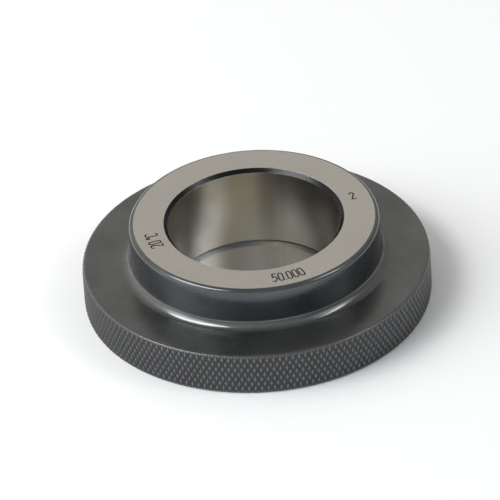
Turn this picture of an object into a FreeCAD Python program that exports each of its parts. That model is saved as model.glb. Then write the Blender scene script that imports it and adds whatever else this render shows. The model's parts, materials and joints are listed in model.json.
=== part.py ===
import FreeCAD, Part
import math
import os
import Sketcher

# A setting ring gauge: one steel ring with a lapped bore, a hub that stands on a wide flange, and a
# diamond knurl round the flange. The origin is the middle of the flat underside and +Z runs up the bore.
# All lengths are in millimetres and the knurl's helix angle is in degrees.

SIZES = [
    ("bore_diameter", "50", "gauging bore, the size marked on the face"),
    ("bore_chamfer", "1.1", "lead-in at both mouths of the bore"),
    ("hub_diameter", "72.4", "outside of the hub"),
    ("hub_height", "13", "from the flange up to the gauge face"),
    ("hub_round", "1.25", "rounded edge round the gauge face"),
    ("cove_radius", "3", "hollow between the hub and the flange"),
    ("flange_diameter", "101", "across the crests of the knurl"),
    ("flange_thickness", "12.8", "from the underside to the flange's top"),
    ("rim_round", "1.2", "rounded edges above and below the knurl"),
    ("knurl_pitch", "1.6", "between two grooves, square to them"),
    ("knurl_angle", "30", "helix angle of the grooves"),
    ("knurl_depth", "0.5", "from the crests to the groove bottoms"),
]

document = FreeCAD.newDocument("setting_ring_gauge")


def fill_sheet():
    sheet = document.addObject("Spreadsheet::Sheet", "sizes")
    for row, (alias, value, meaning) in enumerate(SIZES, start=1):
        sheet.set(f"A{row}", alias)
        sheet.set(f"B{row}", value)
        sheet.set(f"C{row}", meaning)
        sheet.setAlias(f"B{row}", alias)
    document.recompute()
    return sheet


def origin_plane(body, role):
    return next(plane for plane in body.Origin.OriginFeatures if plane.Role == role)


def circle_edges(feature, radius, height):
    """Names of the feature's edges that are a circle of this radius at this height."""
    names = []
    for number, edge in enumerate(feature.Shape.Edges, start=1):
        if not isinstance(edge.Curve, Part.Circle):
            continue
        same_radius = abs(edge.Curve.Radius - radius) < 1e-6
        same_height = abs(edge.Curve.Center.z - height) < 1e-6
        if same_radius and same_height:
            names.append(f"Edge{number}")
    return names


def turned_blank(sheet):
    """The whole ring before knurling, revolved from one half section and given its edges."""
    body = document.addObject("PartDesign::Body", "turned_blank")
    section = body.newObject("Sketcher::SketchObject", "half_section")
    section.AttachmentSupport = (origin_plane(body, "XZ_Plane"), [""])
    section.MapMode = "FlatFace"

    bore = sheet.bore_diameter / 2
    hub = sheet.hub_diameter / 2
    rim = sheet.flange_diameter / 2
    flange_top = sheet.flange_thickness
    face = sheet.flange_thickness + sheet.hub_height
    corners = [(bore, 0), (rim, 0), (rim, flange_top), (hub, flange_top), (hub, face), (bore, face)]
    count = len(corners)
    for number, (radius, height) in enumerate(corners):
        end_radius, end_height = corners[(number + 1) % count]
        start = FreeCAD.Vector(radius, height, 0)
        end = FreeCAD.Vector(end_radius, end_height, 0)
        section.addGeometry(Part.LineSegment(start, end), False)
    underside, rim_wall, flange, hub_wall, gauge_face, bore_wall = range(count)
    for line in range(count):
        section.addConstraint(Sketcher.Constraint("Coincident", line, 2, (line + 1) % count, 1))
    for line in (underside, flange, gauge_face):
        section.addConstraint(Sketcher.Constraint("Horizontal", line))
    for line in (rim_wall, hub_wall, bore_wall):
        section.addConstraint(Sketcher.Constraint("Vertical", line))
    section.addConstraint(Sketcher.Constraint("PointOnObject", underside, 1, -1))

    # each dimension: its name, its kind, the line whose start it places, and the sizes that it follows
    dimensions = [
        ("bore_radius", "DistanceX", bore_wall, bore, "sizes.bore_diameter / 2"),
        ("hub_radius", "DistanceX", hub_wall, hub, "sizes.hub_diameter / 2"),
        ("rim_radius", "DistanceX", rim_wall, rim, "sizes.flange_diameter / 2"),
        ("flange_top", "DistanceY", flange, flange_top, "sizes.flange_thickness"),
        ("face_height", "DistanceY", gauge_face, face, "sizes.flange_thickness + sizes.hub_height"),
    ]
    for name, kind, line, value, expression in dimensions:
        number = section.addConstraint(Sketcher.Constraint(kind, -1, 1, line, 1, value))
        section.renameConstraint(number, name)
        section.setExpression(f"Constraints.{name}", expression)

    ring = body.newObject("PartDesign::Revolution", "ring")
    ring.Profile = section
    ring.ReferenceAxis = (section, ["V_Axis"])
    ring.Angle = 360
    document.recompute()

    # each worked edge: its name, its kind, its size's property and cell, and the circles it is cut on
    worked_edges = [
        ("bore_mouths", "Chamfer", "Size", "bore_chamfer", [(bore, 0), (bore, face)]),
        ("hub_edge", "Fillet", "Radius", "hub_round", [(hub, face)]),
        ("cove", "Fillet", "Radius", "cove_radius", [(hub, flange_top)]),
        ("rim_edges", "Fillet", "Radius", "rim_round", [(rim, 0), (rim, flange_top)]),
    ]
    last = ring
    for name, kind, size, cell, circles in worked_edges:
        edges = [edge for radius, height in circles for edge in circle_edges(last, radius, height)]
        worked = body.newObject(f"PartDesign::{kind}", name)
        worked.Base = (last, edges)
        worked.setExpression(size, f"sizes.{cell}")
        document.recompute()
        last = worked
    body.Tip = last
    return body


def facet(*corners):
    return Part.Face(Part.makePolygon([*corners, corners[0]]))


def knurl(sheet):
    """Facets of the knurled rim, and the outlines in which they meet the flange's two flat faces.

    Crossing helical grooves leave rows of pyramids. Crests and groove crossings take turns round each
    row and from row to row, so the rim is a lattice of columns round the flange and rows up it.
    """
    thickness = sheet.flange_thickness
    crest_radius = sheet.flange_diameter / 2
    valley_radius = crest_radius - sheet.knurl_depth
    helix = math.radians(sheet.knurl_angle)
    pitch_diameter = sheet.flange_diameter - sheet.knurl_depth
    starts = round(math.pi * pitch_diameter * math.cos(helix) / sheet.knurl_pitch)
    columns = 2 * starts
    row_height = sheet.knurl_pitch / math.sin(helix) / 2
    rows = int((thickness - 2 * sheet.rim_round) / row_height)

    # how far round the rounded edge the groove bottoms run out
    notch_turn = math.asin(1 - sheet.knurl_depth / sheet.rim_round)

    def point(column, radius, height):
        turn = math.pi * column / starts
        return FreeCAD.Vector(radius * math.cos(turn), radius * math.sin(turn), height)

    def is_crest(column, row):
        return (column + row) % 2 == 0

    def lattice(column, row):
        radius = crest_radius if is_crest(column, row) else valley_radius
        return point(column, radius, thickness / 2 + (row - rows / 2) * row_height)

    def edge_point(column, turn, upper):
        """A point on the rounded edge, turned from its flat face (0) towards the rim (a right angle)."""
        radius = crest_radius - sheet.rim_round * (1 - math.sin(turn))
        drop = sheet.rim_round * (1 - math.cos(turn))
        return point(column, radius, thickness - drop if upper else drop)

    facets = []
    for column in range(columns):
        for row in range(rows):
            low, low_next = lattice(column, row), lattice(column + 1, row)
            high, high_next = lattice(column, row + 1), lattice(column + 1, row + 1)
            # a groove runs along the diagonal that joins two crossings
            if is_crest(column, row):
                facets += [facet(low, low_next, high), facet(low_next, high_next, high)]
            else:
                facets += [facet(low, low_next, high_next), facet(low, high_next, high)]

    outlines = []
    for upper, row in ((False, 0), (True, rows)):
        grooves = [column for column in range(columns) if not is_crest(column, row)]
        for groove in grooves:
            crest, beyond = groove + 1, groove + 2
            notch = edge_point(groove, notch_turn, upper)
            next_notch = edge_point(beyond, notch_turn, upper)
            facets += [
                facet(edge_point(groove, 0, upper), edge_point(beyond, 0, upper), next_notch, notch),
                facet(notch, next_notch, lattice(crest, row)),
                facet(lattice(crest, row), notch, lattice(groove, row)),
                facet(lattice(crest, row), next_notch, lattice(beyond, row)),
            ]
        corners = [edge_point(groove, 0, upper) for groove in [*grooves, grooves[0]]]
        outlines.append(Part.makePolygon(corners))
    return facets, outlines


def gauge_ring(sheet, blank):
    """The finished ring: the turned blank with its smooth rim exchanged for the knurl."""
    facets, outlines = knurl(sheet)
    flat_radius = sheet.flange_diameter / 2 - sheet.rim_round
    skin = list(facets)
    for face in blank.Shape.Faces:
        reach = max(math.hypot(vertex.X, vertex.Y) for vertex in face.Vertexes)
        if reach < flat_radius - 1e-6:
            skin.append(face)
        elif reach < flat_radius + 1e-6:
            # a flat face of the flange ends in the knurl's outline instead of a circle
            height = face.CenterOfMass.z
            outline = min(outlines, key=lambda wire: abs(wire.CenterOfMass.z - height))
            inner = [wire for wire in face.Wires if not wire.isSame(face.OuterWire)]
            skin.append(Part.makeFace([outline, *inner], "Part::FaceMakerBullseye"))
    shell = Part.makeCompound(skin)
    shell.sewShape()
    solid = Part.makeSolid(shell.Shells[0])
    if solid.Volume < 0:
        solid.reverse()

    ring = document.addObject("Part::Feature", "gauge_ring")
    ring.Shape = solid
    ring.Placement = FreeCAD.Placement()
    ring.Label = "gauge_ring"
    return ring


def check_and_write(nodes):
    for item in document.Objects:
        if "Invalid" in item.State or "Error" in item.State:
            raise RuntimeError(f"{item.Name} failed: {item.State}")
    for node in nodes:
        if node.Shape.isNull() or not node.Shape.isValid() or len(node.Shape.Solids) != 1:
            raise RuntimeError(f"{node.Label} is not one valid solid")
    os.makedirs("parts", exist_ok=True)
    for node in nodes:
        node.Shape.exportStep(f"parts/{node.Label}.step")
        print(node.Label, "faces", len(node.Shape.Faces), "volume", round(node.Shape.Volume, 1))


sheet = fill_sheet()
blank = turned_blank(sheet)
ring = gauge_ring(sheet, blank)
document.recompute()
check_and_write([ring])
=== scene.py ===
import json
import math

import bpy
import numpy as np
from mathutils import Matrix, Vector
from mathutils.geometry import delaunay_2d_cdt


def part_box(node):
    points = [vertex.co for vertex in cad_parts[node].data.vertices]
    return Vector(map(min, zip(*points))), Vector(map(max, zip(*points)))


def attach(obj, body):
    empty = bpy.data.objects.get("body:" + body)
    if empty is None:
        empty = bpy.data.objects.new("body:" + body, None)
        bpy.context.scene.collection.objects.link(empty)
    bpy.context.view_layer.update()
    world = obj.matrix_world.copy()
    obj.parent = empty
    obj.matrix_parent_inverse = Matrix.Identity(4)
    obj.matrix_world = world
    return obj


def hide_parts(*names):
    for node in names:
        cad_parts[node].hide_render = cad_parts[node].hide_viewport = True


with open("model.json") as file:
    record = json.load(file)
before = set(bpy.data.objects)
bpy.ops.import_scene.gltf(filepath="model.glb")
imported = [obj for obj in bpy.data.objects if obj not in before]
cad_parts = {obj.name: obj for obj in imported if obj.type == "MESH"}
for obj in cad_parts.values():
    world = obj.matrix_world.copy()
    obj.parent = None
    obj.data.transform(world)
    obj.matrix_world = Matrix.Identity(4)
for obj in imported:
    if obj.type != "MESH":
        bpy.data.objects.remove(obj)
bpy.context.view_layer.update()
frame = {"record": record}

# Looks of a setting ring gauge: a fine skin over the ring with the knurl's true grooves and the
# engraved numbers, its finishes, a pale floor, soft lamps, a sky and the camera. Lengths are in
# millimetres until they are written to Blender, which has metres.

MM = 0.001

# sizes of the ring; its height, its widest radius and its bore come from the frame
low_corner, high_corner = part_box("gauge_ring")
bore_mount = next(mount for mount in frame["record"]["mounts"] if mount["name"] == "bore")
HEIGHT = high_corner.z / MM
CREST_RADIUS = high_corner.x / MM
BORE_RADIUS = bore_mount["dims"]["r_mm"]
BORE_CHAMFER = (HEIGHT - bore_mount["dims"]["length_mm"]) / 2
HUB_RADIUS = 36.2
HUB_ROUND = 1.25
COVE_RADIUS = 3
FLANGE_THICKNESS = 12.8
RIM_ROUND = 1.2
EDGE_BREAK = 0.12

KNURL_PITCH = 1.6
KNURL_ANGLE = math.radians(30)
KNURL_DEPTH = 0.5
# parts of the depth that wear has taken off the crests and that rounding leaves in the grooves
CREST_WEAR = 0.10
GROOVE_ROUNDING = 0.07

# the knurl's lattice: crests and groove crossings take turns round each row and from row to row, and
# the first row is a height
STARTS = round(math.pi * (2 * CREST_RADIUS - KNURL_DEPTH) * math.cos(KNURL_ANGLE) / KNURL_PITCH)
COLUMNS = 2 * STARTS
ROW_HEIGHT = KNURL_PITCH / math.sin(KNURL_ANGLE) / 2
ROWS = int((FLANGE_THICKNESS - 2 * RIM_ROUND) / ROW_HEIGHT)
FIRST_ROW = FLANGE_THICKNESS / 2 - ROWS / 2 * ROW_HEIGHT
VALLEY_RADIUS = CREST_RADIUS - KNURL_DEPTH
NOTCH_TURN = math.asin(1 - KNURL_DEPTH / RIM_ROUND)
# steps of the skin in each cell of the lattice, and where the grooves run out
CELL_STEPS = 4
RUN_OUT_STEPS = 8

STROKE_WIDTH = 0.44
ENGRAVING_DEPTH = 0.18
CHARACTER_GAP = 0.15
# engraved on the gauge face: text, turn in degrees, radius, height of the characters, way of their tops
ENGRAVINGS = [
    ("50.000", -73.5, 30.7, 3.7, "inward"),
    ("20 °C", -164.5, 30.2, 3.6, "outward"),
    ("2", 16.5, 30.1, 3.3, "along"),
]

# black oxide by height above the flange, in millimetres: rubbed in the cove and round the hub's edge
HUB_HEIGHT = HEIGHT - FLANGE_THICKNESS
OXIDE_COLOURS = [
    (0.3, (0.152, 0.157, 0.152)),
    (0.8, (0.188, 0.190, 0.190)),
    (1.7, (0.188, 0.190, 0.190)),
    (2.8, (0.092, 0.097, 0.104)),
    (HUB_HEIGHT - 1.3, (0.092, 0.097, 0.104)),
    (HUB_HEIGHT - 0.5, (0.125, 0.130, 0.135)),
]
# the lapped wall's tints from the left (-1) to the right (1): painted reflections and shade, lightest left
# of the middle, brown in the middle and darkest at the right
BORE_PAINTED_REFLECTION_TINTS = [
    (-1.0, (0.66, 0.64, 0.59)),
    (-0.5, (1.0, 0.97, 0.90)),
    (-0.1, (0.94, 0.88, 0.73)),
    (0.2, (0.81, 0.76, 0.635)),
    (0.45, (0.64, 0.605, 0.52)),
    (1.0, (0.45, 0.435, 0.40)),
]
FILM_TINT = (1.0, 0.90, 0.72)
MOUTH_OXIDE = (0.032, 0.032, 0.035)
# the knurl's oxide; its crests are darker near the rim's edges
RUBBED_CREST = (0.205, 0.208, 0.212)
EDGE_CREST = (0.13, 0.132, 0.135)
# painted light and shade on the flanks: lighter where they face up or clockwise round the rim, darker
# elsewhere
FLANK_PAINTED_LIGHT = (0.165, 0.170, 0.175)
FLANK_PAINTED_SHADE = (0.054, 0.056, 0.058)
# painted shade in the grooves
GROOVE_PAINTED_SHADE = (0.030, 0.031, 0.032)
# the darkest and the lightest of each
GROUND_STEEL = ((0.560, 0.536, 0.493), (0.706, 0.676, 0.622))
ENGRAVED_STEEL = ((0.012, 0.011, 0.010), (0.04, 0.037, 0.034))

FLOOR_COLOUR = (0.92, 0.92, 0.92)
PLATE_RADIUS = 27
# tints of the polished plate under the bore, from the left to the right in millimetres: painted shade,
# lightest near the middle and darkest to the right
PLATE_PAINTED_SHADE_TINTS = [(-15, (0.46, 0.46, 0.46)), (2, (0.59, 0.59, 0.59)), (15, (0.29, 0.29, 0.295))]

# in metres
LAMP_DISTANCE = 1.6
# each lamp: its name, its azimuth, elevation, width and height in degrees, its radiance, and whether
# reflections show it
LAMPS = [
    ("key_lamp", -156, 51, 40, 18, 5.3, True),
    ("strip_lamp", -7.5, 50, 10, 20, 3.8, True),
    ("side_lamp", -172, 30, 50, 30, 3.3, False),
    ("top_lamp", 90, 80, 60, 60, 0.3, False),
]
# the sky: its colours in front and behind, its brightness by the sine of the elevation, and its glows,
# each with azimuth, elevation, the cosine of the angle from there to where it ends, and brightness
SKY_COLOURS = ((0.95, 1.0, 1.06), (1.02, 1.0, 0.95))
SKY_LEVELS = [
    (0.0, (0.42, 0.42, 0.42)),
    (0.30, (0.47, 0.47, 0.4794)),
    (0.50, (0.58, 0.58, 0.5916)),
    (0.68, (0.56, 0.56, 0.5712)),
    (0.85, (0.25, 0.25, 0.255)),
    (1.0, (0.16, 0.16, 0.17)),
]
SKY_GLOWS = [(-18, 38, 0.92, 2.0), (-160, 35, 0.90, 3.4)]

FINISHES = ["ground_face", "bore_mouth", "lapped_bore", "body_oxide", "knurl_oxide", "engraving"]


class Skin:
    """Points and faces of the ring's surface, with the finish and the corner normals of each face.

    Each point has how deep the knurl's grooves are cut there, from 0 to 1.
    """

    def __init__(self):
        self.points = []
        self.cuts = []
        self.faces = []
        self.finishes = []
        self.normals = []

    def add_points(self, points, cuts=None):
        first = len(self.points)
        self.points += [tuple(point) for point in points]
        self.cuts += [0.0] * len(points) if cuts is None else list(cuts)
        return list(range(first, len(self.points)))

    def add_ring(self, radius, height, columns):
        turns = np.arange(columns) * 2 * math.pi / columns
        heights = np.full(columns, height)
        return self.add_points(np.column_stack((radius * np.cos(turns), radius * np.sin(turns), heights)))

    def add_face(self, corners, finish, normals=None):
        self.faces.append(tuple(corners))
        self.finishes.append(FINISHES.index(finish))
        self.normals.append(normals)

    def add_band(self, ring, next_ring, finish, slopes):
        """A band of quads between two rings; slopes are the radial and upward parts of both normals."""
        count = len(ring)
        for column in range(count):
            beyond = (column + 1) % count
            corners = (ring[column], next_ring[column], next_ring[beyond], ring[beyond])
            here, there = (2 * math.pi * step / count for step in (column, column + 1))
            turns = (here, here, there, there)
            ends = (slopes[0], slopes[1], slopes[1], slopes[0])
            normals = [(out * math.cos(turn), out * math.sin(turn), up)
                       for turn, (out, up) in zip(turns, ends)]
            self.add_face(corners, finish, normals)


def unit(vector):
    return vector / np.linalg.norm(vector)


def line_stretch(start, end, steps):
    """Points of a straight stretch of the section, with the normal on its left."""
    start, end = np.array(start, float), np.array(end, float)
    way = unit(end - start)
    points = [start + (end - start) * step / steps for step in range(steps + 1)]
    return points, [(-way[1], way[0])] * (steps + 1)


def corner_arc(before, corner, after, radius, steps):
    """Points of the arc that rounds a corner of the section, with the normals on their left."""
    before, corner, after = (np.array(point, float) for point in (before, corner, after))
    way_in, way_out = unit(corner - before), unit(after - corner)
    turn = math.atan2(way_in[0] * way_out[1] - way_in[1] * way_out[0], way_in @ way_out)
    reach = radius * math.tan(abs(turn) / 2)
    left_in = np.array((-way_in[1], way_in[0]))
    side = math.copysign(1, turn)
    centre = corner - way_in * reach + left_in * side * radius
    points, normals = [], []
    for step in range(steps + 1):
        part = turn * step / steps
        left = np.array((left_in[0] * math.cos(part) - left_in[1] * math.sin(part),
                         left_in[0] * math.sin(part) + left_in[1] * math.cos(part)))
        points.append(centre - left * side * radius)
        normals.append(tuple(left))
    return points, normals


def rim_edge(turn, upper):
    """Radius, height and normal on the rounded rim edge, turned from its flat (0) to the rim wall."""
    radius = CREST_RADIUS - RIM_ROUND * (1 - math.sin(turn))
    drop = RIM_ROUND * (1 - math.cos(turn))
    way = (math.sin(turn), math.cos(turn) if upper else -math.cos(turn))
    return radius, FLANGE_THICKNESS - drop if upper else drop, way


def turned_surfaces(skin):
    """Everything that was turned and ground, apart from the gauge face.

    Returns the rings where it ends: at the underside's rim, at the gauge face's inner and outer edge,
    and at the flange's rim.
    """
    flat_radius = CREST_RADIUS - RIM_ROUND
    mouth_radius = BORE_RADIUS + BORE_CHAMFER
    # each corner: radius, height, rounding, steps, finish of the rounding, finish of the line after it
    corners = [
        (flat_radius, 0, 0, 0, None, "ground_face"),
        (mouth_radius, 0, EDGE_BREAK, 2, "ground_face", "lapped_bore"),
        (BORE_RADIUS, BORE_CHAMFER, EDGE_BREAK, 2, "lapped_bore", "lapped_bore"),
        (BORE_RADIUS, HEIGHT - BORE_CHAMFER, EDGE_BREAK, 2, "lapped_bore", "bore_mouth"),
        (mouth_radius, HEIGHT, EDGE_BREAK, 2, "ground_face", None),
        (HUB_RADIUS, HEIGHT, HUB_ROUND, 12, "body_oxide", "body_oxide"),
        (HUB_RADIUS, FLANGE_THICKNESS, COVE_RADIUS, 14, "body_oxide", "body_oxide"),
        (flat_radius, FLANGE_THICKNESS, 0, 0, None, None),
    ]
    line_steps = {"lapped_bore": 6, "body_oxide": 3, "ground_face": 3, "bore_mouth": 1}
    places = [corner[:2] for corner in corners]
    end = places[0]
    last_ring = skin.add_ring(*end, COLUMNS)
    end_rings = [last_ring]
    for number, (_, _, rounding, steps, round_finish, line_finish) in enumerate(corners):
        if rounding:
            points, normals = corner_arc(*places[number - 1:number + 2], rounding, steps)
            if last_ring is None:
                last_ring = skin.add_ring(*points[0], COLUMNS)
                end_rings.append(last_ring)
            last_ring = add_stretch(skin, last_ring, points, normals, round_finish)
            end = points[-1]
        if number + 1 == len(corners):
            break
        if line_finish is None:
            end_rings.append(last_ring)
            last_ring = None
            continue
        target = places[number + 1]
        next_rounding = corners[number + 1][2]
        if next_rounding:
            target = corner_arc(end, target, places[number + 2], next_rounding, 1)[0][0]
        points, normals = line_stretch(end, target, line_steps[line_finish])
        last_ring = add_stretch(skin, last_ring, points, normals, line_finish)
        end = points[-1]
    return *end_rings, last_ring


def add_stretch(skin, ring, points, normals, finish):
    for number in range(1, len(points)):
        next_ring = skin.add_ring(*points[number], COLUMNS)
        skin.add_band(ring, next_ring, finish, (normals[number - 1], normals[number]))
        ring = next_ring
    return ring


def groove_height(columns, rows):
    """Height of the knurl from its groove bottoms (0) to its crests (1), in lattice columns and rows."""

    def one_family(across):
        off_crest = np.abs((across + 1) % 2 - 1)
        worn = np.sqrt(off_crest ** 2 + CREST_WEAR ** 2)
        bottom = np.sqrt((1 - off_crest) ** 2 + GROOVE_ROUNDING ** 2)
        return np.where(off_crest < 0.5, 1 - worn, bottom)

    return np.minimum(one_family(columns + rows), one_family(columns - rows))


def knurled_rim(skin, upper_ring, lower_ring):
    """The rim's knurl between the two flats' rings, with the grooves running out on both edges."""
    fine_columns = COLUMNS * CELL_STEPS
    half = FLANGE_THICKNESS / 2
    notch_height = rim_edge(NOTCH_TURN, True)[1]
    last_row = FLANGE_THICKNESS - FIRST_ROW
    run_out = np.linspace(last_row, notch_height, RUN_OUT_STEPS + 1)[1:]
    inner = np.linspace(FIRST_ROW, last_row, ROWS * CELL_STEPS + 1)
    heights = np.concatenate((run_out[::-1], inner[::-1], FLANGE_THICKNESS - run_out))

    columns = np.arange(fine_columns) / CELL_STEPS
    turns = columns * math.pi / STARTS
    rings = []
    for height in heights:
        past_round = max(0, abs(height - half) - (half - RIM_ROUND))
        plain_radius = CREST_RADIUS - RIM_ROUND + math.sqrt(RIM_ROUND ** 2 - past_round ** 2)
        row = (height - FIRST_ROW) / ROW_HEIGHT
        cut_radius = VALLEY_RADIUS + KNURL_DEPTH * groove_height(columns, np.full(fine_columns, row))
        radius = np.minimum(plain_radius, cut_radius)
        level = np.full(fine_columns, height)
        ring = np.column_stack((radius * np.cos(turns), radius * np.sin(turns), level))
        rings.append(skin.add_points(ring, (plain_radius - radius) / KNURL_DEPTH))

    for number, (ring, next_ring) in enumerate(zip(rings, rings[1:])):
        middle_row = ((heights[number] + heights[number + 1]) / 2 - FIRST_ROW) / ROW_HEIGHT
        for column in range(fine_columns):
            beyond = (column + 1) % fine_columns
            cell = math.floor(middle_row) + math.floor((column + 0.5) / CELL_STEPS)
            high, high_next = ring[column], ring[beyond]
            low, low_next = next_ring[column], next_ring[beyond]
            # each pair of triangles meets along the way the cell's groove runs
            if cell % 2:
                skin.add_face((high, low, low_next), "knurl_oxide")
                skin.add_face((high, low_next, high_next), "knurl_oxide")
            else:
                skin.add_face((high, low, high_next), "knurl_oxide")
                skin.add_face((low, low_next, high_next), "knurl_oxide")

    for upper, flat_ring, fine_ring in ((True, upper_ring, rings[0]), (False, lower_ring, rings[-1])):
        ring = flat_ring
        last_way = (0, 1 if upper else -1)
        for part in (1 / 3, 2 / 3):
            radius, height, way = rim_edge(NOTCH_TURN * part, upper)
            next_ring = skin.add_ring(radius, height, COLUMNS)
            if upper:
                skin.add_band(ring, next_ring, "body_oxide", (last_way, way))
            else:
                skin.add_band(next_ring, ring, "body_oxide", (way, last_way))
            ring, last_way = next_ring, way
        join_rings(skin, ring, fine_ring, upper)


def join_rings(skin, coarse, fine, upper):
    """A strip between a ring of the turned surfaces and the knurl's finer ring."""
    steps = len(fine) // len(coarse)
    for column, point in enumerate(coarse):
        next_point = coarse[(column + 1) % len(coarse)]
        first = column * steps
        triangles = []
        for step in range(steps):
            here = fine[first + step]
            there = fine[(first + step + 1) % len(fine)]
            anchor = point if step < steps // 2 else next_point
            triangles.append((anchor, here, there))
            if step == steps // 2 - 1:
                triangles.append((point, there, next_point))
        for triangle in triangles:
            skin.add_face(triangle if upper else triangle[::-1], "knurl_oxide")


def arc_points(centre, radii, start, end, steps):
    """Points of an elliptical arc; angles in degrees, counter-clockwise from the right."""
    return [(centre[0] + radii[0] * math.cos(angle), centre[1] + radii[1] * math.sin(angle))
            for angle in np.radians(np.linspace(start, end, steps + 1))]


def character_strokes():
    """Centre lines of the engraved characters, which are one high.

    Each character has its width and its strokes, and each stroke says whether it is closed.
    """
    zero = arc_points((0.17, 0.80), (0.17, 0.20), 180, 0, 8)
    zero += arc_points((0.17, 0.20), (0.17, 0.20), 0, -180, 8)
    five = [(0.32, 1.0), (0.04, 1.0), (0.015, 0.55)]
    five += arc_points((0.15, 0.35), (0.185, 0.25), 128, -60, 10)
    five += arc_points((0.13, 0.17), (0.15, 0.17), -62, -150, 5)
    two = arc_points((0.17, 0.80), (0.17, 0.20), 175, -10, 9)
    two += [(0.30, 0.64), (0.0, 0.0), (0.36, 0.0)]
    degree = arc_points((0.10, 0.87), (0.10, 0.13), 180, -180, 12)[:-1]
    letter_c = arc_points((0.18, 0.80), (0.18, 0.20), 20, 180, 8)
    letter_c += arc_points((0.18, 0.20), (0.18, 0.20), 180, 340, 8)
    point = [(0.0, 0.02), (0.0, 0.05)]
    return {
        "0": (0.34, [(zero, True)]),
        "5": (0.34, [(five, False)]),
        "2": (0.35, [(two, False)]),
        "°": (0.20, [(degree, True)]),
        "C": (0.35, [(letter_c, False)]),
        ".": (0.04, [(point, False)]),
        " ": (0.10, []),
    }


def stroke_outlines(path, closed, half_width):
    """Outlines of a stroke of this width along the path: one loop, or two where the path is closed."""
    points = np.array(path, float)
    count = len(points)
    sides = []
    for number in range(count):
        ways = []
        if closed or number:
            ways.append(unit(points[number] - points[number - 1]))
        if closed or number + 1 < count:
            ways.append(unit(points[(number + 1) % count] - points[number]))
        lefts = [np.array((-way[1], way[0])) for way in ways]
        across = unit(sum(lefts))
        # a bend is drawn out to keep the width, but a sharp one not all the way
        stretch = 1 / max(0.62, float(across @ lefts[0]))
        sides.append(across * half_width * stretch)
    sides = np.array(sides)
    if closed:
        return [points + sides, points - sides]
    caps = []
    for tip, inward in ((count - 1, count - 2), (0, 1)):
        way = unit(points[tip] - points[inward])
        side = sides[tip] if tip else -sides[tip]
        caps.append([points[tip] + side * math.cos(angle) + way * half_width * math.sin(angle)
                     for angle in np.radians((45, 90, 135))])
    return [np.array([*(points + sides), *caps[0], *(points - sides)[::-1], *caps[1]])]


def engraved_outlines(text, turn, radius, size, tops):
    """Outlines of a line of characters, its middle at this turn and radius of the gauge face.

    The characters' tops point outward, inward or along the turn.
    """
    characters = character_strokes()
    length = sum(characters[letter][0] + CHARACTER_GAP for letter in text) * size - CHARACTER_GAP * size
    along = -length / 2
    outlines = []
    for character in text:
        width, strokes = characters[character]
        for path, closed in strokes:
            full_size = [(along + x * size, (y - 0.5) * size) for x, y in path]
            for outline in stroke_outlines(full_size, closed, STROKE_WIDTH / 2):
                across, up = outline[:, 0], outline[:, 1]
                out, on = {"outward": (up, -across), "inward": (-up, across), "along": (across, up)}[tops]
                reach = radius + out
                angle = math.radians(turn) + on / radius
                outlines.append(np.column_stack((reach * np.cos(angle), reach * np.sin(angle))))
        along += (width + CHARACTER_GAP) * size
    return outlines


def inside(point, outlines):
    """True if the point lies inside an odd number of the outlines."""
    x, y = point
    odd = False
    for outline in outlines:
        nexts = np.roll(outline, -1, axis=0)
        crosses = (outline[:, 1] > y) != (nexts[:, 1] > y)
        rise = np.where(crosses, nexts[:, 1] - outline[:, 1], 1)
        meets = outline[:, 0] + (y - outline[:, 1]) * (nexts[:, 0] - outline[:, 0]) / rise
        odd ^= bool(np.count_nonzero(crosses & (x < meets)) % 2)
    return odd


def gauge_face(skin, inner_ring, outer_ring):
    """The flat face round the bore, with the engraved numbers sunk into it."""
    outlines = [outline for engraving in ENGRAVINGS for outline in engraved_outlines(*engraving)]
    loops = [inner_ring, outer_ring]
    loops += [skin.add_points([(x, y, HEIGHT) for x, y in outline]) for outline in outlines]
    known = [index for loop in loops for index in loop]
    flat = [Vector(skin.points[index][:2]) for index in known]
    edges = []
    first = 0
    for loop in loops:
        edges += [(first + step, first + (step + 1) % len(loop)) for step in range(len(loop))]
        first += len(loop)
    made_points, _, triangles, sources, _, _ = delaunay_2d_cdt(flat, edges, [], 0, 1e-6)
    at_top = []
    for place, source in zip(made_points, sources):
        at_top.append(known[source[0]] if source else skin.add_points([(place.x, place.y, HEIGHT)])[0])

    bore_limit = math.hypot(*skin.points[inner_ring[0]][:2])
    sunk = set()
    kept = []
    for triangle in triangles:
        middle = sum((made_points[corner] for corner in triangle), Vector((0, 0))) / 3
        if middle.length < bore_limit:
            continue
        engraved = inside(middle, outlines)
        if engraved:
            sunk.update(triangle)
        kept.append((triangle, engraved))
    at_floor = {}
    for corner in sorted(sunk):
        x, y, _ = skin.points[at_top[corner]]
        at_floor[corner] = skin.add_points([(x, y, HEIGHT - ENGRAVING_DEPTH)])[0]

    upward = [(0, 0, 1)] * 3
    sides = []
    for triangle, engraved in kept:
        places = [at_floor[corner] if engraved else at_top[corner] for corner in triangle]
        skin.add_face(places, "engraving" if engraved else "ground_face", upward)
        if engraved:
            sides += [(triangle[step], triangle[(step + 1) % 3]) for step in range(3)]
    # a side that isn't shared by two sunk triangles carries a wall
    shared = set(sides)
    for start, end in sides:
        if (end, start) not in shared:
            skin.add_face((at_floor[end], at_top[end], at_top[start], at_floor[start]), "engraving")


def feed(tree, value, socket):
    """Link a node's output to the socket, or write a plain value on it."""
    if isinstance(value, bpy.types.NodeSocket):
        tree.links.new(value, socket)
    else:
        socket.default_value = value


def node(tree, kind, inputs=None, **settings):
    made = tree.nodes.new(kind)
    for name, value in settings.items():
        setattr(made, name, value)
    for name, value in (inputs or {}).items():
        feed(tree, value, made.inputs[name])
    return made


def maths(tree, operation, *values):
    return node(tree, "ShaderNodeMath", dict(enumerate(values)), operation=operation).outputs[0]


def noise(tree, place, scale, detail, roughness):
    """Noise from 0 to 1; its scale is in features per metre."""
    inputs = {"Vector": place, "Scale": scale, "Detail": detail, "Roughness": roughness}
    return node(tree, "ShaderNodeTexNoise", inputs).outputs["Fac"]


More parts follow.
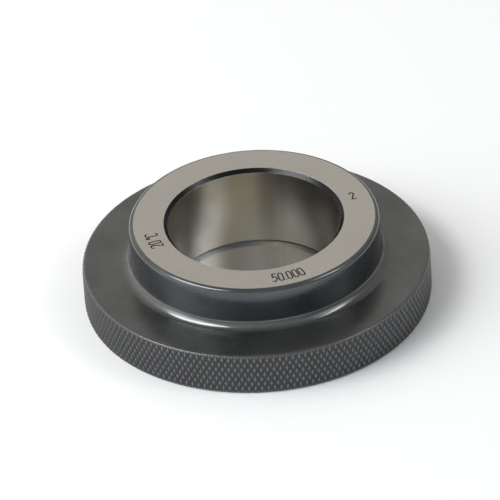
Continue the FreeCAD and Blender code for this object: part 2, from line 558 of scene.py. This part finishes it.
def spread(tree, value, low_value, high_value, low_out, high_out):
    """The value taken from one range to another, and held at its ends."""
    inputs = {"Value": value, "From Min": low_value, "From Max": high_value}
    inputs |= {"To Min": low_out, "To Max": high_out}
    return node(tree, "ShaderNodeMapRange", inputs).outputs["Result"]


def blend_colours(tree, factor, first, second):
    made = node(tree, "ShaderNodeMix", {"Factor": factor}, data_type="RGBA")
    # the mix node's sockets 6 and 7 and its output 2 are those for colours
    for socket, colour in ((made.inputs[6], first), (made.inputs[7], second)):
        feed(tree, (*colour, 1) if isinstance(colour, tuple) else colour, socket)
    return made.outputs[2]


def object_place(tree):
    """Object coordinates, as one vector and as its three parts."""
    place = node(tree, "ShaderNodeTexCoord").outputs["Object"]
    parts = node(tree, "ShaderNodeSeparateXYZ", {"Vector": place})
    return place, *parts.outputs


def turning_marks(tree, x, y, z):
    """Coordinates of turning marks: radius and height, and hardly any change round the ring."""
    squares = maths(tree, "ADD", maths(tree, "MULTIPLY", x, x), maths(tree, "MULTIPLY", y, y))
    radius = maths(tree, "SQRT", squares)
    angle = maths(tree, "ARCTAN2", y, x)
    slow = maths(tree, "MULTIPLY", maths(tree, "SINE", angle), 0.6 * MM)
    return node(tree, "ShaderNodeCombineXYZ", {"X": radius, "Y": slow, "Z": z}).outputs["Vector"]


def new_material(name):
    material = bpy.data.materials.new(name)
    material.use_nodes = True
    tree = material.node_tree
    tree.nodes.clear()
    output = tree.nodes.new("ShaderNodeOutputMaterial")
    shader = tree.nodes.new("ShaderNodeBsdfPrincipled")
    tree.links.new(shader.outputs["BSDF"], output.inputs["Surface"])
    return material, tree, shader


def add_bump(tree, shader, height, strength, depth):
    inputs = {"Height": height, "Strength": strength, "Distance": depth * MM}
    tree.links.new(node(tree, "ShaderNodeBump", inputs).outputs["Normal"], shader.inputs["Normal"])


def colour_ramp(tree, value, stops):
    """Colour by a value; each stop is a value and its colour."""
    low, high = stops[0][0], stops[-1][0]
    ramp = node(tree, "ShaderNodeValToRGB", {"Fac": spread(tree, value, low, high, 0, 1)})
    elements = ramp.color_ramp.elements
    for number, (place, colour) in enumerate(stops):
        part = (place - low) / (high - low)
        if number in (0, len(stops) - 1):
            element = elements[0 if number == 0 else -1]
            element.position = part
        else:
            element = elements.new(part)
        element.color = (*colour, 1)
    return ramp.outputs["Color"]


def scaled(tree, colour, factor):
    """A colour times a number, or times three."""
    if isinstance(factor, tuple):
        made = node(tree, "ShaderNodeVectorMath", {0: colour, 1: factor}, operation="MULTIPLY")
    else:
        made = node(tree, "ShaderNodeVectorMath", {0: colour, "Scale": factor}, operation="SCALE")
    return made.outputs["Vector"]


def oxide(name, body):
    """Black oxide over turned steel, faintly mottled and marked by turning: on the body or in the mouth."""
    material, tree, shader = new_material(name)
    place, x, y, z = object_place(tree)
    stain = noise(tree, place, 70, 4, 0.6)
    fine = noise(tree, place, 1300, 3, 0.6)
    turning = noise(tree, turning_marks(tree, x, y, z), 5200, 2, 0.6)
    mottle = maths(tree, "ADD", maths(tree, "MULTIPLY", stain, 0.7), maths(tree, "MULTIPLY", fine, 0.3))
    mottle = spread(tree, mottle, 0.36, 0.64, 0.82, 1.18)
    if body:
        colour = colour_ramp(tree, z, [((FLANGE_THICKNESS + up) * MM, tone) for up, tone in OXIDE_COLOURS])
        # it gets smoother over the foot of the cove
        foot, smooth = ((FLANGE_THICKNESS + up) * MM for up in (0.1, 0.8))
        rough = spread(tree, z, foot, smooth, 0.27, 0.13)
        tree.links.new(spread(tree, z, foot, smooth, 0.9, 0.7), shader.inputs["Metallic"])
    else:
        colour = MOUTH_OXIDE
        rough = 0.25
        shader.inputs["Metallic"].default_value = 0.9
    tree.links.new(scaled(tree, colour, mottle), shader.inputs["Base Color"])
    rough = maths(tree, "MULTIPLY", rough, spread(tree, stain, 0.3, 0.7, 0.85, 1.15))
    tree.links.new(rough, shader.inputs["Roughness"])
    grain = maths(tree, "ADD", turning, maths(tree, "MULTIPLY", fine, 0.5))
    add_bump(tree, shader, grain, 0.15, 0.04)
    return material


def knurl_finish(name):
    """Black oxide on the knurl, darker in the grooves.

    It is rubbed lighter on the crests. Painted light makes the flanks that face up or clockwise round the
    rim lighter, and painted shade makes the grooves darker.
    """
    material, tree, shader = new_material(name)
    place, x, y, z = object_place(tree)
    cut = node(tree, "ShaderNodeAttribute", attribute_name="cut").outputs["Fac"]
    facing = node(tree, "ShaderNodeNewGeometry").outputs["True Normal"]
    aside, behind, upward = node(tree, "ShaderNodeSeparateXYZ", {"Vector": facing}).outputs
    # how far a flank faces round the rim, clockwise from above
    aside_part, behind_part = maths(tree, "MULTIPLY", aside, y), maths(tree, "MULTIPLY", behind, x)
    clockwise = maths(tree, "SUBTRACT", aside_part, behind_part)
    clockwise = maths(tree, "DIVIDE", clockwise, CREST_RADIUS * MM)
    # painted light: flanks that face up or clockwise round the rim get the lighter tone
    lean = maths(tree, "ADD", maths(tree, "MULTIPLY", upward, 0.6), maths(tree, "MULTIPLY", clockwise, 0.5))
    painted_light_part = maths(tree, "POWER", spread(tree, lean, -0.3, 0.4, 0, 1), 1.4)
    stain = noise(tree, place, 260, 3, 0.6)
    fine = noise(tree, place, 2600, 2, 0.6)
    uneven = maths(tree, "MULTIPLY", maths(tree, "SUBTRACT", stain, 0.5), 0.15)
    depth = maths(tree, "ADD", cut, uneven)
    flank = blend_colours(tree, painted_light_part, FLANK_PAINTED_SHADE, FLANK_PAINTED_LIGHT)
    # painted shade: the grooves darken towards their bottoms
    flank = blend_colours(tree, spread(tree, depth, 0.45, 0.85, 0, 1), flank, GROOVE_PAINTED_SHADE)
    from_middle = maths(tree, "ABSOLUTE", maths(tree, "SUBTRACT", z, FLANGE_THICKNESS / 2 * MM))
    near_edge = spread(tree, from_middle, 4.6 * MM, 5.3 * MM, 0, 1)
    crest = blend_colours(tree, near_edge, RUBBED_CREST, EDGE_CREST)
    colour = blend_colours(tree, spread(tree, depth, 0.04, 0.2, 0, 1), crest, flank)
    tree.links.new(colour, shader.inputs["Base Color"])
    tree.links.new(spread(tree, depth, 0.05, 0.3, 0.22, 0.36), shader.inputs["Roughness"])
    shader.inputs["Metallic"].default_value = 0.5
    add_bump(tree, shader, fine, 0.25, 0.04)
    return material


def ground_steel(name):
    """Ground steel: a bright warm grey with short fine scratches, which run from side to side."""
    material, tree, shader = new_material(name)
    place = node(tree, "ShaderNodeTexCoord").outputs["Object"]
    layers = []
    # each layer of scratches: its turn in degrees, its squeeze along them, and its scale
    for turn, squeeze, scale in ((20, 0.06, 5200), (-35, 0.08, 6100)):
        inputs = {"Vector": place, "Rotation": (0, 0, math.radians(turn)), "Scale": (squeeze, 1, 1)}
        mapping = node(tree, "ShaderNodeMapping", inputs)
        layers.append(noise(tree, mapping.outputs["Vector"], scale, 2, 0.6))
    scratches = maths(tree, "MULTIPLY", maths(tree, "ADD", *layers), 0.5)
    cloud = noise(tree, place, 60, 3, 0.5)
    grain = noise(tree, place, 1900, 2, 0.6)
    shade = maths(tree, "MULTIPLY", maths(tree, "ADD", scratches, grain), 0.5)
    colour = blend_colours(tree, spread(tree, shade, 0.36, 0.64, 0, 1), *GROUND_STEEL)
    tree.links.new(colour, shader.inputs["Base Color"])
    tree.links.new(spread(tree, cloud, 0.3, 0.7, 0.30, 0.38), shader.inputs["Roughness"])
    shader.inputs["Metallic"].default_value = 1
    add_bump(tree, shader, scratches, 0.35, 0.03)
    return material


def lapped_steel(name):
    """The lapped bore: smooth, with a faint brown film, lapping marks that cross one another, and painted
    reflections and shade across its wall.
    """
    material, tree, shader = new_material(name)
    place, x, y, z = object_place(tree)
    along = maths(tree, "MULTIPLY", maths(tree, "ARCTAN2", y, x), BORE_RADIUS * MM)
    wall = node(tree, "ShaderNodeCombineXYZ", {"X": along, "Y": z}).outputs["Vector"]
    layers = []
    for turn in (62, -62):
        inputs = {"Vector": wall, "Rotation": (0, 0, math.radians(turn)), "Scale": (1, 20, 1)}
        mapping = node(tree, "ShaderNodeMapping", inputs, vector_type="TEXTURE")
        layers.append(noise(tree, mapping.outputs["Vector"], 900, 2, 0.5))
    hatch = maths(tree, "MULTIPLY", maths(tree, "ADD", *layers), 0.5)
    cloud = noise(tree, place, 70, 3, 0.55)
    drift = maths(tree, "MULTIPLY", maths(tree, "SUBTRACT", cloud, 0.5), 10 * MM)
    # painted reflections and shade across the wall, from the left to the right
    tints = [(part * BORE_RADIUS * MM, colour) for part, colour in BORE_PAINTED_REFLECTION_TINTS]
    tint = colour_ramp(tree, maths(tree, "ADD", x, drift), tints)
    film = spread(tree, noise(tree, place, 110, 4, 0.6), 0.45, 0.65, 0, 0.36)
    tint = blend_colours(tree, film, tint, scaled(tree, tint, FILM_TINT))
    # painted shade makes it duller towards the back on the right and the front on the left, and painted
    # light makes the lower chamfer brighter
    corner = maths(tree, "MULTIPLY", maths(tree, "MULTIPLY", x, y), 1 / (BORE_RADIUS * MM) ** 2)
    painted_shade = spread(tree, corner, 0.02, 0.32, 1, 0.37)
    shade = maths(tree, "MULTIPLY", painted_shade, spread(tree, cloud, 0.3, 0.7, 0.94, 1.06))
    shade = maths(tree, "MULTIPLY", shade, spread(tree, z, 1.3 * MM, 1.0 * MM, 1, 1.5))
    tree.links.new(scaled(tree, tint, shade), shader.inputs["Base Color"])
    tree.links.new(spread(tree, hatch, 0.35, 0.65, 0.29, 0.35), shader.inputs["Roughness"])
    shader.inputs["Metallic"].default_value = 1
    return material


def engraving_finish(name):
    """The engraved strokes: dark and rough."""
    material, tree, shader = new_material(name)
    place = node(tree, "ShaderNodeTexCoord").outputs["Object"]
    fine = noise(tree, place, 3000, 2, 0.6)
    tree.links.new(blend_colours(tree, fine, *ENGRAVED_STEEL), shader.inputs["Base Color"])
    tree.links.new(spread(tree, fine, 0.3, 0.7, 0.6, 0.8), shader.inputs["Roughness"])
    shader.inputs["Metallic"].default_value = 0
    return material


def build_ring():
    skin = Skin()
    lower_ring, mouth_ring, hub_ring, upper_ring = turned_surfaces(skin)
    knurled_rim(skin, upper_ring, lower_ring)
    gauge_face(skin, mouth_ring, hub_ring)

    mesh = bpy.data.meshes.new("gauge_ring_finish")
    mesh.from_pydata([(x * MM, y * MM, z * MM) for x, y, z in skin.points], [], skin.faces)
    mesh.polygons.foreach_set("material_index", skin.finishes)
    smooth = [FINISHES[finish] != "engraving" for finish in skin.finishes]
    mesh.polygons.foreach_set("use_smooth", smooth)
    mesh.update()
    mesh.attributes.new("cut", "FLOAT", "POINT").data.foreach_set("value", skin.cuts)
    vertex_normals = np.zeros(len(mesh.vertices) * 3, np.float32)
    mesh.vertex_normals.foreach_get("vector", vertex_normals)
    vertex_normals = vertex_normals.reshape(-1, 3)
    corner_normals = []
    for polygon, face, normals, is_smooth in zip(mesh.polygons, skin.faces, skin.normals, smooth):
        if normals is not None:
            corner_normals += normals
        elif is_smooth:
            corner_normals += [tuple(vertex_normals[corner]) for corner in face]
        else:
            corner_normals += [tuple(polygon.normal)] * len(face)
    mesh.normals_split_custom_set(corner_normals)

    ring = bpy.data.objects.new("gauge_ring_finish", mesh)
    bpy.context.scene.collection.objects.link(ring)
    materials = {
        "ground_face": ground_steel("ground_steel"),
        "bore_mouth": oxide("mouth_oxide", False),
        "lapped_bore": lapped_steel("lapped_steel"),
        "body_oxide": oxide("body_oxide", True),
        "knurl_oxide": knurl_finish("knurl_oxide"),
        "engraving": engraving_finish("engraving"),
    }
    for finish in FINISHES:
        mesh.materials.append(materials[finish])
    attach(ring, "root")
    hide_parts("gauge_ring")


def floor():
    """A pale floor, with a small polished plate where it shows through the bore, tinted with painted shade
    from left to right.
    """
    bpy.ops.mesh.primitive_plane_add(size=8, location=(0, 0, 0))
    plane = bpy.context.object
    plane.name = "floor"
    material, tree, shader = new_material("pale_floor")
    place, x, _, _ = object_place(tree)
    radius = node(tree, "ShaderNodeVectorMath", {0: place}, operation="LENGTH").outputs["Value"]
    plate = spread(tree, radius, PLATE_RADIUS * MM, (PLATE_RADIUS + 1) * MM, 1, 0)
    # painted shade across the plate, from the left to the right
    plate_painted_shade = colour_ramp(tree, x, [(across * MM, colour) for across, colour in PLATE_PAINTED_SHADE_TINTS])
    tree.links.new(blend_colours(tree, plate, FLOOR_COLOUR, plate_painted_shade), shader.inputs["Base Color"])
    tree.links.new(plate, shader.inputs["Metallic"])
    tree.links.new(spread(tree, plate, 0, 1, 0.9, 0.22), shader.inputs["Roughness"])
    shader.inputs["Specular IOR Level"].default_value = 0
    plane.data.materials.append(material)


def direction(azimuth, elevation):
    """Unit vector; azimuth in degrees counter-clockwise from +X, elevation above the floor."""
    turn, rise = math.radians(azimuth), math.radians(elevation)
    return Vector((math.cos(rise) * math.cos(turn), math.cos(rise) * math.sin(turn), math.sin(rise)))


def soft_lamp(name, azimuth, elevation, wide, tall, radiance, in_reflections):
    """A soft box that faces the ring."""
    width, height = (2 * LAMP_DISTANCE * math.tan(math.radians(angle / 2)) for angle in (wide, tall))
    data = bpy.data.lights.new(name, "AREA")
    data.shape = "RECTANGLE"
    data.size = width
    data.size_y = height
    data.energy = radiance * math.pi * width * height
    lamp = bpy.data.objects.new(name, data)
    bpy.context.scene.collection.objects.link(lamp)
    way = direction(azimuth, elevation)
    lamp.location = way * LAMP_DISTANCE
    lamp.rotation_euler = way.to_track_quat("Z", "Y").to_euler()
    lamp.visible_glossy = in_reflections


def sky():
    """A sky that is brighter on the left and behind, cooler in front, and has two soft glows."""
    world = bpy.data.worlds.new("studio")
    bpy.context.scene.world = world
    world.use_nodes = True
    tree = world.node_tree
    tree.nodes.clear()
    output = tree.nodes.new("ShaderNodeOutputWorld")
    background = tree.nodes.new("ShaderNodeBackground")
    tree.links.new(background.outputs[0], output.inputs["Surface"])
    way = node(tree, "ShaderNodeTexCoord").outputs["Generated"]
    x, y, z = node(tree, "ShaderNodeSeparateXYZ", {"Vector": way}).outputs
    colour = blend_colours(tree, spread(tree, y, -0.6, 0.6, 0, 1), *SKY_COLOURS)
    tree.links.new(colour, background.inputs["Color"])
    tilt = maths(tree, "ADD", maths(tree, "MULTIPLY", x, -0.4), maths(tree, "MULTIPLY", y, 0.25))
    strength = maths(tree, "ADD", tilt, 0.84)
    for azimuth, elevation, end, brightness in SKY_GLOWS:
        inputs = {0: way, 1: direction(azimuth, elevation)}
        nearness = node(tree, "ShaderNodeVectorMath", inputs, operation="DOT_PRODUCT").outputs["Value"]
        glow = maths(tree, "POWER", spread(tree, nearness, end, 1.0, 0, 1), 1.3)
        strength = maths(tree, "ADD", strength, maths(tree, "MULTIPLY", glow, brightness))
    strength = maths(tree, "MULTIPLY", strength, colour_ramp(tree, z, SKY_LEVELS))
    tree.links.new(strength, background.inputs["Strength"])


def camera():
    """The photograph's view, fitted to the edges of the ring in its 500 by 500 pixels."""
    image_pixels = 500
    pixels_per_mm = 3.4718
    distance = 1976.97
    elevation = math.radians(34.7472)
    roll = math.radians(-3.5175)
    aside, below = 1.6609, 8.9718

    data = bpy.data.cameras.new("camera")
    data.sensor_width = 36
    data.lens = pixels_per_mm * distance * data.sensor_width / image_pixels
    data.clip_end = 20
    eye = bpy.data.objects.new("camera", data)
    bpy.context.scene.collection.objects.link(eye)
    back = Vector((0, -math.cos(elevation), math.sin(elevation)))
    right = Vector((1, 0, 0))
    up = Vector((0, math.sin(elevation), math.cos(elevation)))
    place = Vector((0, 0, HEIGHT)) + back * distance - right * aside - up * below
    rolled_right = right * math.cos(roll) + up * math.sin(roll)
    rolled_up = up * math.cos(roll) - right * math.sin(roll)
    turn = Matrix((rolled_right, rolled_up, back)).transposed().to_4x4()
    eye.matrix_world = Matrix.Translation(place * MM) @ turn
    bpy.context.scene.camera = eye


build_ring()
floor()
for lamp in LAMPS:
    soft_lamp(*lamp)
sky()
camera()
bpy.context.scene.view_settings.view_transform = "Standard"
